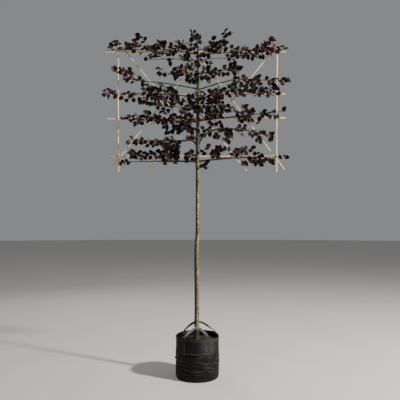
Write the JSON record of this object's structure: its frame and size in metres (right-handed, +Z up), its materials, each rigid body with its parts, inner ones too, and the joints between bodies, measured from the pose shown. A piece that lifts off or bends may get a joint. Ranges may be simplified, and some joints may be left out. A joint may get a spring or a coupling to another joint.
{
  "type": "potted pleached copper beech tree",
  "caption": "Copper beech with one clear straight stem and a flat crown of side arms trained on a bamboo cane frame, standing in a black fabric grow bag with webbing handles.",
  "frame": {"origin": "middle of the flat underside of the grow bag, on the ground that the plant stands on", "axes": "+Z up the stem; X along the flat crown and its rails; the canes are behind the crown, towards +Y"},
  "size_m": [1.861, 0.426, 3.3822],
  "materials": {
    "bark": "matte",
    "cane": "satin",
    "leaf": "satin",
    "bag": "matte",
    "strap": "matte",
    "compost": "matte"
  },
  "bodies": {
    "root": {"bag": "bag", "bough_left_1": "bark", "bough_left_2": "bark", "bough_left_2_fork": "bark", "bough_left_3": "bark", "bough_left_4": "bark", "bough_left_5": "bark", "bough_left_7": "bark", "bough_left_7_low": "bark", "bough_right_1": "bark", "bough_right_2": "bark", "bough_right_3": "bark", "bough_right_4": "bark", "bough_right_5": "bark", "bough_right_7": "bark", "cane_falling_1": "cane", "cane_falling_2": "cane", "cane_falling_3": "cane", "cane_post_left": "cane", "cane_post_right": "cane", "cane_rail_1": "cane", "cane_rail_2": "cane", "cane_rail_3": "cane", "cane_rail_4": "cane", "cane_rising_1": "cane", "cane_rising_2": "cane", "cane_rising_3": "cane", "compost": "compost", "foliage_drop": "leaf", "foliage_leader": "leaf", "foliage_left_1": "leaf", "foliage_left_1_inner": "leaf", "foliage_left_2": "leaf", "foliage_left_2_fork": "leaf", "foliage_left_3": "leaf", "foliage_left_4": "leaf", "foliage_left_5": "leaf", "foliage_left_6": "leaf", "foliage_left_7": "leaf", "foliage_left_7_low": "leaf", "foliage_left_mid": "leaf", "foliage_right_1": "leaf", "foliage_right_1_inner": "leaf", "foliage_right_2": "leaf", "foliage_right_3": "leaf", "foliage_right_4": "leaf", "foliage_right_5": "leaf", "foliage_right_6": "leaf", "foliage_right_7": "leaf", "foliage_right_7_low": "leaf", "foliage_right_7_rising": "leaf", "foliage_right_mid": "leaf", "handle_back": "strap", "handle_front": "strap", "trunk": "bark"}
  },
  "joints": []
}
